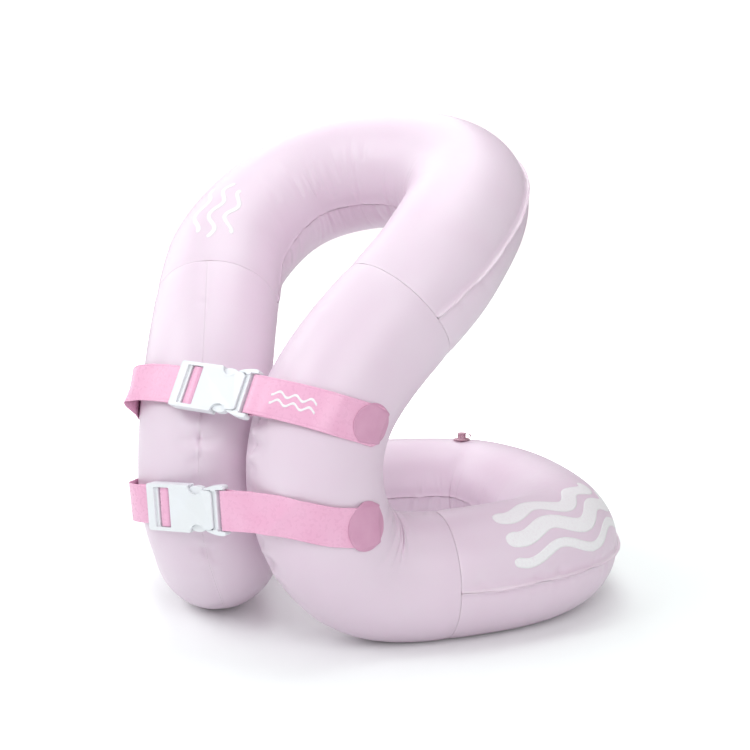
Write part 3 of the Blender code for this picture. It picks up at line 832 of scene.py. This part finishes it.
def rounded_box(x0, x1, y0, y1, z0, z1, radius=0.0):
    """Box with its four long corners rounded, as a prism along y."""
    if not radius:
        return prism(((x0, z0), (x1, z0), (x1, z1), (x0, z1)), y0, y1)
    outline = []
    for cx, cz, first in ((x1 - radius, z1 - radius, 0), (x0 + radius, z1 - radius, 90),
                          (x0 + radius, z0 + radius, 180), (x1 - radius, z0 + radius, 270)):
        for k in range(5):
            a = math.radians(first + 22.5 * k)
            outline.append((cx + radius * math.cos(a), cz + radius * math.sin(a)))
    return prism(outline, y0, y1)


def carved(base, cuts, joins=()):
    """Base mesh with the cuts taken out and the joins added."""
    body = bpy.data.objects.new("body", base)
    bpy.context.collection.objects.link(body)
    tools = []
    for operation, meshes in (("DIFFERENCE", cuts), ("UNION", joins)):
        for mesh in meshes:
            tool = bpy.data.objects.new("tool", mesh)
            bpy.context.collection.objects.link(tool)
            modifier = body.modifiers.new("step", "BOOLEAN")
            modifier.operation = operation
            modifier.object = tool
            tools.append(tool)
    bpy.context.view_layer.update()
    result = bpy.data.meshes.new_from_object(body.evaluated_get(bpy.context.evaluated_depsgraph_get()))
    for obj in tools + [body]:
        bpy.data.objects.remove(obj, do_unlink=True)
    return result


def softened(mesh, width=0.55, segments=3):
    """Moulded edges: the mesh cleaned up, then every sharp edge rounded."""
    bm = bmesh.new()
    bm.from_mesh(mesh)
    bmesh.ops.remove_doubles(bm, verts=bm.verts, dist=0.02 * MM)
    bmesh.ops.dissolve_limit(bm, angle_limit=math.radians(1.5), verts=bm.verts, edges=bm.edges)
    bm.to_mesh(mesh)
    bm.free()
    obj = bpy.data.objects.new("soft", mesh)
    bpy.context.collection.objects.link(obj)
    bevel = obj.modifiers.new("edges", "BEVEL")
    bevel.width = width * MM
    bevel.segments = segments
    bevel.limit_method = "ANGLE"
    bevel.angle_limit = math.radians(40)
    bevel.miter_outer = "MITER_ARC"
    bpy.context.view_layer.update()
    result = bpy.data.meshes.new_from_object(obj.evaluated_get(bpy.context.evaluated_depsgraph_get()))
    bpy.data.objects.remove(obj, do_unlink=True)
    result.shade_smooth()
    result.set_sharp_from_angle(angle=math.radians(50))
    return result


def mirrored(upper):
    return list(upper) + [(x, -z) for x, z in reversed(upper)]


def spline_outline(points, steps=6):
    """Closed Catmull-Rom outline through the points."""
    n = len(points)
    data = np.array(points, float)
    out = []
    for i in range(n):
        a, b, c, d = (data[(i + k - 1) % n] for k in range(4))
        for t in np.arange(steps) / steps:
            out.append(tuple(0.5 * (2 * b + (c - a) * t + (2 * a - 5 * b + 4 * c - d) * t ** 2
                                    + (3 * b - 3 * c + d - a) * t ** 3)))
    return out


NOTCH_X, NOTCH_Z, NOTCH_R = 58.0, 22.9, 8.5


def ring_arc(radius, first, last, step, sign=1):
    """Points of an arc about a thumb notch's middle, in mm; degrees turn from the buckle's axis."""
    out = []
    for degrees in np.arange(first, last + 0.1, step):
        a = math.radians(degrees)
        out.append((NOTCH_X + radius * math.cos(a), sign * (NOTCH_Z + radius * math.sin(a))))
    return out


def socket_mesh():
    """Hollow body, open at its mouth, with round thumb notches and a barred strap window."""
    upper = [(0, 20.4), (0.3, 21.4), (0.9, 22.2), (1.8, 22.65), (3.0, 22.75), (26, 22.85),
             (48.6, 22.75)]
    upper += ring_arc(NOTCH_R, 184, 330, 6)
    upper += [(67.0, 18.7), (70, 18.65), (73.6, 18.4), (74.6, 18.0), (75, 17.2)]
    half_t = BUCKLE_T / MM / 2
    window = WINDOW_W / MM / 2
    bar_t = BAR / MM / 2
    bar0 = (WEB_BAR_X - WEB_BAR_FLAT) / MM - bar_t
    bar1 = (WEB_BAR_X + WEB_BAR_FLAT) / MM + bar_t
    cuts = [
        rounded_box(8.5, bar0, -9, 9, -window, window, 1.2),
        rounded_box(bar1, 27.0, -9, 9, -window, window, 1.2),
        rounded_box(bar0 - 1, bar1 + 1, -9, -bar_t, -window + 0.1, window - 0.1),
        rounded_box(bar0 - 1, bar1 + 1, bar_t, 9, -window + 0.1, window - 0.1),
        rounded_box(-1, 9.5, 1.2, 9, -window + 0.2, window - 0.2),
        rounded_box(32.0, 77.0, -3.3, 3.3, -16.5, 16.5),
        rounded_box(48.8, 66.4, -3.3, 3.3, 14.0, 30.0),
        rounded_box(48.8, 66.4, -3.3, 3.3, -30.0, -14.0),
        rounded_box(31.0, 46.0, 4.7, 9.0, -11.0, 11.0, 1.5),
    ]
    joins = [rounded_box(8.0, 12.0, -3.2, 0.2, -window - 0.3, window + 0.3),
             rounded_box(73.5, 76.5, -half_t, -3.35, -17.0, 17.0)]
    for sign in (1, -1):
        lip = ring_arc(NOTCH_R + 1.5, 200, 318, 6, sign)
        lip += ring_arc(NOTCH_R + 0.1, 200, 318, 6, sign)[::-1]
        joins.append(prism(lip, -half_t - 0.35, -half_t + 0.6))
    return softened(carved(prism(mirrored(upper), -half_t, half_t), cuts, joins), 0.55, 3)


def plug_mesh():
    """Base with flared wings outside the socket's mouth, a strap bar, and a guide tongue."""
    flare = [(75.8, 18.9), (71.5, 18.95), (68.2, 19.15), (67.5, 19.5), (68.1, 20.2), (71, 21.2),
             (74, 22.2), (78, 23.0), (82, 23.6), (86, 23.8), (88.4, 23.5), (89.6, 22.8),
             (90.0, 21.8), (90.0, 20.2)]
    open_half = WINDOW_W / MM / 2 + 0.4
    end_bar = END_BAR_X / MM
    half = BAR / MM / 2
    base = prism(mirrored(flare), -4.4, 4.4)
    cuts = [rounded_box(81.0, 99, -9, 9, -open_half, open_half, 1.0),
            rounded_box(70, 81.5, -9, -2.8, -18.0, 18.0)]
    joins = [
        rounded_box(end_bar - half, end_bar + half, -half, half, -open_half - 1, open_half + 1),
        rounded_box(42.0, 76.4, -2.6, 2.6, -3.0, 3.0),
    ]
    return softened(carved(base, cuts, joins), 0.5, 3)


def arm_mesh(upper):
    """Sprung arm: root at the plug's base, thumb bulge with a square shoulder, tapered tip."""
    outline = [(75.2, 9.6), (75.2, 11.2), (75.2, 12.9), (71.8, 13.4), (68.5, 13.9), (66.3, 15.4),
               (65.6, 18.9), (63.5, 21.1), (58.0, 21.9), (52.5, 21.1), (50.2, 19.0), (49.7, 16.0),
               (51.0, 13.5), (56.0, 12.2), (64.0, 11.0), (70.0, 9.9)]
    if not upper:
        outline = [(x, -z) for x, z in outline]
    return softened(prism(spline_outline(outline, 3), -3.0, 3.0), 0.5, 3)


def build_buckles(material):
    shapes = {
        "buckle_socket": socket_mesh(),
        "buckle_plug": plug_mesh(),
        "buckle_top_arm": arm_mesh(True),
        "buckle_bottom_arm": arm_mesh(False),
    }
    bodies = {"buckle_socket": "vest", "buckle_plug": "{}_plug", "buckle_top_arm": "{}_top_arm",
              "buckle_bottom_arm": "{}_bottom_arm"}
    for row, (middle, lean, roll, _) in CHEST_STRAPS.items():
        matrix = buckle_matrix(middle, lean, roll)
        for piece, mesh in shapes.items():
            mesh = mesh.copy()
            mesh.transform(matrix)
            obj = new_object(f"{row}_{piece.replace('buckle', 'clip')}", mesh, material)
            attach(obj, bodies[piece].format(row))
            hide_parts(f"{row}_{piece}")


# ---- valve ----

def turned(profile, steps=64):
    """Solid of revolution about z from a profile of (radius, height) in mm, axis to axis."""
    verts, rings = [], []
    for r, z in profile:
        count = steps if r > 0 else 1
        rings.append(range(len(verts), len(verts) + count))
        for k in range(count):
            turn = math.tau * k / steps
            verts.append((r * MM * math.cos(turn), r * MM * math.sin(turn), z * MM))
    faces = []
    for low, high in zip(rings, rings[1:]):
        for k in range(steps):
            n = (k + 1) % steps
            ring = [low[k % len(low)], low[n % len(low)], high[n % len(high)], high[k % len(high)]]
            faces.append(tuple(dict.fromkeys(ring)))
    return mesh_from(verts, faces)


def build_valve(material):
    """Flanged stem with a pull-out plug and the tether that keeps the plug on the vest."""
    at = Matrix.Translation(VALVE_PLACE)
    body = turned(((0, 0.1), (10.2, 0.1), (10.8, 0.2), (11.0, 0.45), (10.8, 0.75), (10.0, 0.85),
                   (9.2, 0.7), (8.4, 0.85), (6.6, 0.95), (5.9, 1.2), (5.5, 1.9), (5.5, 6.3), (5.3, 6.8),
                   (4.8, 7.0), (3.7, 7.0), (3.3, 6.7), (3.3, 1.2), (0, 1.2)))
    plug = turned(((0, 1.7), (2.2, 1.7), (2.7, 1.9), (3.05, 2.6), (2.85, 3.4), (2.85, 5.9), (3.0, 7.2),
                   (5.6, 7.25), (6.0, 7.6), (6.05, 8.1), (5.9, 8.7), (5.4, 9.1), (3.4, 9.2), (2.6, 8.9),
                   (0, 8.8)))
    for name, mesh, node, body_name in (("valve_stem", body, "valve_body", "vest"),
                                        ("valve_stopper", plug, "valve_plug", "valve_plug")):
        mesh.transform(at)
        obj = new_object(name, mesh, material)
        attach(obj, body_name)
        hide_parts(node)
    route = ((5.9, 2.6), (8.6, 2.8), (11.4, 3.9), (12.8, 5.8), (12.2, 7.6), (9.6, 8.3), (6.4, 8.2))
    points = [to_world(at, r * MM, 0, z * MM) for r, z in route]
    path, widths, _ = resample(points, [(0.0, 1.0, 0.0)] * len(points), 0.5 * MM)
    normals = np.cross(unit(np.gradient(path, axis=0)), widths)
    column = np.array((-1, -0.9, -0.6, 0, 0.6, 0.9, 1))
    thick = 0.4 * MM * np.sqrt(np.clip(1 - column ** 6, 0.05, 1))
    base = path[:, None] + (column * 2.0 * MM)[None, :, None] * widths[:, None]
    lift = thick[None, :, None] * normals[:, None]
    tether = new_object("valve_strap", shell_mesh(base + lift, base - lift), material)
    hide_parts("valve_tether")
    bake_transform(tether)


# ---- materials ----

class Nodes:
    """Small helper that builds one material's nodes."""

    def __init__(self, name):
        self.material = bpy.data.materials.new(name)
        self.material.use_nodes = True
        self.tree = self.material.node_tree
        self.shader = self.tree.nodes["Principled BSDF"]
        self.coords = self.tree.nodes.new("ShaderNodeTexCoord").outputs["Object"]

    def add(self, kind, **values):
        node = self.tree.nodes.new(kind)
        for key, value in values.items():
            setattr(node, key, value)
        return node

    def link(self, output, target):
        self.tree.links.new(output, target)

    def noise(self, scale, detail=3.0, roughness=0.5):
        node = self.add("ShaderNodeTexNoise")
        node.inputs["Scale"].default_value = scale
        node.inputs["Detail"].default_value = detail
        node.inputs["Roughness"].default_value = roughness
        self.link(self.coords, node.inputs["Vector"])
        return node.outputs["Fac"]

    def spread(self, value, low, high, to_low, to_high):
        node = self.add("ShaderNodeMapRange")
        numbers = {"From Min": low, "From Max": high, "To Min": to_low, "To Max": to_high}
        for key, number in numbers.items():
            node.inputs[key].default_value = number
        self.link(value, node.inputs["Value"])
        return node.outputs["Result"]

    def mix(self, share, first, second):
        node = self.add("ShaderNodeMix", data_type="RGBA")
        for socket, value in ((node.inputs[6], first), (node.inputs[7], second)):
            if isinstance(value, tuple):
                socket.default_value = (*value, 1.0)
            else:
                self.link(value, socket)
        self.link(share, node.inputs[0])
        return node.outputs[2]

    def bump(self, height, distance, strength, below=None):
        node = self.add("ShaderNodeBump")
        node.inputs["Distance"].default_value = distance
        node.inputs["Strength"].default_value = strength
        self.link(height, node.inputs["Height"])
        if below is not None:
            self.link(below, node.inputs["Normal"])
        return node.outputs["Normal"]

    def cells(self, scale):
        node = self.add("ShaderNodeTexVoronoi")
        node.inputs["Scale"].default_value = scale
        self.link(self.coords, node.inputs["Vector"])
        return node.outputs["Distance"]

    def drift(self, scale, detail, low, high, first, second):
        """Colour that drifts slowly between two close tones."""
        return self.mix(self.spread(self.noise(scale, detail), low, high, 0.0, 1.0), first, second)

    def surface(self, colour, roughness_noise, normal):
        """Base colour, roughness from (scale, detail, low, high), and normal."""
        scale, detail, low, high = roughness_noise
        self.link(colour, self.shader.inputs["Base Color"])
        uneven = self.spread(self.noise(scale, detail), 0.3, 0.7, low, high)
        self.link(uneven, self.shader.inputs["Roughness"])
        self.link(normal, self.shader.inputs["Normal"])

    def set(self, **values):
        for key, value in values.items():
            self.shader.inputs[key.replace("_", " ")].default_value = value


def film_material():
    """Semi-gloss PVC film: soft colour drift, and lighter along the welded seams as a painted
    highlight.
    """
    n = Nodes("pvc_film")
    colour = n.drift(9.0, 2.0, 0.35, 0.65, PINK_FILM, PINK_FILM_DEEP)
    weld = n.add("ShaderNodeAttribute", attribute_name="weld").outputs["Fac"]
    wave = n.bump(n.noise(55.0, 2.0), 0.0006, 0.25)
    grain = n.bump(n.noise(1400.0, 2.0), 0.00008, 0.12, wave)
    # the weld attribute mixes the painted highlight colour in along the seams
    n.surface(n.mix(weld, colour, PINK_WELD_HIGHLIGHT), (120.0, 4.0, 0.35, 0.45), grain)
    n.set(IOR=1.5, Subsurface_Weight=0.12, Subsurface_Scale=0.01, Subsurface_Radius=(1.0, 0.3, 0.5))
    return n.material


def strap_material():
    """Strap PVC over a woven core: fine cells of the weave showing through, satin surface."""
    n = Nodes("strap_pvc")
    weave = n.bump(n.cells(900.0), 0.00012, 0.25)
    n.surface(n.drift(38.0, 3.0, 0.3, 0.7, PINK_STRAP, PINK_STRAP_DEEP), (260.0, 3.0, 0.24, 0.34),
              n.bump(n.noise(160.0, 3.0), 0.0003, 0.25, weave))
    n.set(IOR=1.5)
    return n.material


def patch_material():
    """Welded patch: matter, and deeper pink that is partly its own colour and partly painted shade,
    with a fine pressed grain.
    """
    n = Nodes("weld_patch")
    n.surface(n.drift(60.0, 3.0, 0.3, 0.7, PINK_PATCH_WITH_SHADE, PINK_PATCH_WITH_SHADE_DEEP), (300.0, 3.0, 0.42, 0.55),
              n.bump(n.cells(1100.0), 0.0001, 0.3))
    n.set(IOR=1.5)
    return n.material


def plastic_material():
    """White injection-moulded acetal: nearly even, faint flow marks and a fine spark texture."""
    n = Nodes("buckle_plastic")
    n.surface(n.drift(45.0, 2.0, 0.35, 0.65, WHITE_PLASTIC, WHITE_PLASTIC_WARM),
              (500.0, 3.0, 0.28, 0.38), n.bump(n.noise(2400.0, 2.0), 0.00005, 0.25))
    n.set(IOR=1.48)
    return n.material


def print_material():
    """Screen-printed white ink: thin in places, so a little of the film's pink comes through."""
    n = Nodes("white_print")
    n.surface(n.drift(420.0, 4.0, 0.48, 0.78, WHITE_PRINT, WHITE_PRINT_THIN), (200.0, 3.0, 0.4, 0.5),
              n.bump(n.noise(1500.0, 2.0), 0.00005, 0.2))
    n.set(IOR=1.5)
    return n.material


def valve_material():
    """Soft clear PVC of the valve, tinted pink."""
    n = Nodes("valve_plastic")
    n.surface(n.drift(220.0, 2.0, 0.35, 0.65, VALVE_PINK, VALVE_PINK_DEEP), (600.0, 2.0, 0.22, 0.32),
              n.bump(n.noise(900.0, 2.0), 0.00005, 0.2))
    n.set(IOR=1.5, Transmission_Weight=0.35)
    return n.material


def floor_material():
    """White paper floor that glows softly further out, so that it runs into the white backdrop."""
    n = Nodes("studio_floor")
    shade = n.spread(n.noise(3.0, 2.0), 0.3, 0.7, 0.0, 1.0)
    n.link(n.mix(shade, (0.90, 0.94, 0.925), (0.89, 0.93, 0.915)), n.shader.inputs["Base Color"])
    distance = n.add("ShaderNodeVectorMath", operation="LENGTH")
    n.link(n.coords, distance.inputs[0])
    far = n.spread(distance.outputs["Value"], 0.40, 1.1, 0.05, 1.0)
    seen = n.add("ShaderNodeMath", operation="MULTIPLY")
    n.link(far, seen.inputs[0])
    n.link(n.add("ShaderNodeLightPath").outputs["Is Camera Ray"], seen.inputs[1])
    n.link(seen.outputs["Value"], n.shader.inputs["Emission Strength"])
    n.set(Roughness=0.9, Emission_Color=(1.0, 1.0, 1.0, 1.0))
    return n.material


# ---- studio ----

COOL_LIGHT = (0.955, 1.0, 0.995)
WARM_ROOM = (1.0, 0.95, 0.965, 1.0)
ROOM_LEVEL = 0.37                   # strength of the light from all round
BACKDROP_LEVEL = 1.12               # how white the backdrop looks
LIGHT_SIZE = 1.8
LIGHT_AIM = (-0.02, 0.0, 0.25)
LIGHTS = (                          # name, place, watts
    ("key", (-1.55, -2.0, 2.1), 38),
    ("top", (0.1, 0.3, 2.6), 26),
    ("fill", (1.6, -1.8, 1.6), 31),
    ("side", (-2.4, 0.2, 1.3), 20),
    ("back", (-1.4, 1.6, 2.2), 19),
)
FLOOR_HALF = 14.0
FLOOR_DROP = 0.4 * MM               # keeps the floor clear of the film that stands on it
SENSOR = 36.0
LENS = 59.46
CAMERA_PLACE = (0.6926, -1.2207, 0.4167)
CAMERA_AHEAD = (-0.49196, 0.86184, -0.12331)


def build_stage():
    corners = ((-1, -1), (1, -1), (1, 1), (-1, 1))
    verts = [(x * FLOOR_HALF, y * FLOOR_HALF, 0.0) for x, y in corners]
    floor = new_object("floor", mesh_from(verts, [(0, 1, 2, 3)]), floor_material())
    floor.location.z = -FLOOR_DROP


def add_light(name, location, watts):
    """Square soft light aimed at the vest."""
    data = bpy.data.lights.new(name, "AREA")
    data.shape = "RECTANGLE"
    data.size = data.size_y = LIGHT_SIZE
    data.energy = watts
    data.color = COOL_LIGHT
    lamp = bpy.data.objects.new(name, data)
    bpy.context.collection.objects.link(lamp)
    lamp.location = location
    lamp.rotation_mode = "QUATERNION"
    lamp.rotation_quaternion = (Vector(LIGHT_AIM) - Vector(location)).to_track_quat("-Z", "Y")


def build_world():
    """Even soft light from all round; seen directly, the backdrop is plain white."""
    world = bpy.data.worlds.new("studio")
    bpy.context.scene.world = world
    world.use_nodes = True
    tree = world.node_tree
    background = tree.nodes["Background"]
    background.inputs["Color"].default_value = WARM_ROOM
    path = tree.nodes.new("ShaderNodeLightPath")
    level = tree.nodes.new("ShaderNodeMapRange")
    level.inputs["To Min"].default_value = ROOM_LEVEL
    level.inputs["To Max"].default_value = BACKDROP_LEVEL
    tree.links.new(path.outputs["Is Camera Ray"], level.inputs["Value"])
    tree.links.new(level.outputs["Result"], background.inputs["Strength"])


def build_studio():
    build_stage()
    build_world()
    for name, location, watts in LIGHTS:
        add_light(name, location, watts)
    view = bpy.context.scene.view_settings
    view.view_transform = "Standard"
    view.look = "None"


def build_camera():
    data = bpy.data.cameras.new("camera")
    data.sensor_width = SENSOR
    data.lens = LENS
    camera = bpy.data.objects.new("camera", data)
    bpy.context.collection.objects.link(camera)
    camera.location = CAMERA_PLACE
    camera.rotation_mode = "QUATERNION"
    camera.rotation_quaternion = Vector(CAMERA_AHEAD).to_track_quat("-Z", "Y")
    bpy.context.scene.camera = camera


def build_vest():
    film, strap, patch = film_material(), strap_material(), patch_material()
    white, ink, clear = plastic_material(), print_material(), valve_material()
    build_film(film)
    build_prints(ink)
    for row, (middle, lean, roll, share) in CHEST_STRAPS.items():
        matrix = buckle_matrix(middle, lean, roll)
        for name, side in (("left", -1), ("right", 1)):
            *shape, slope = build_strap(row, name, side, side * share, matrix, strap)
            build_patch(f"{row}_{name}", side * share, slope, patch)
            if (row, name) == ("upper", "right"):
                build_strap_print(*shape, matrix, ink)
    build_buckles(white)
    build_valve(clear)


build_camera()
build_studio()
build_vest()
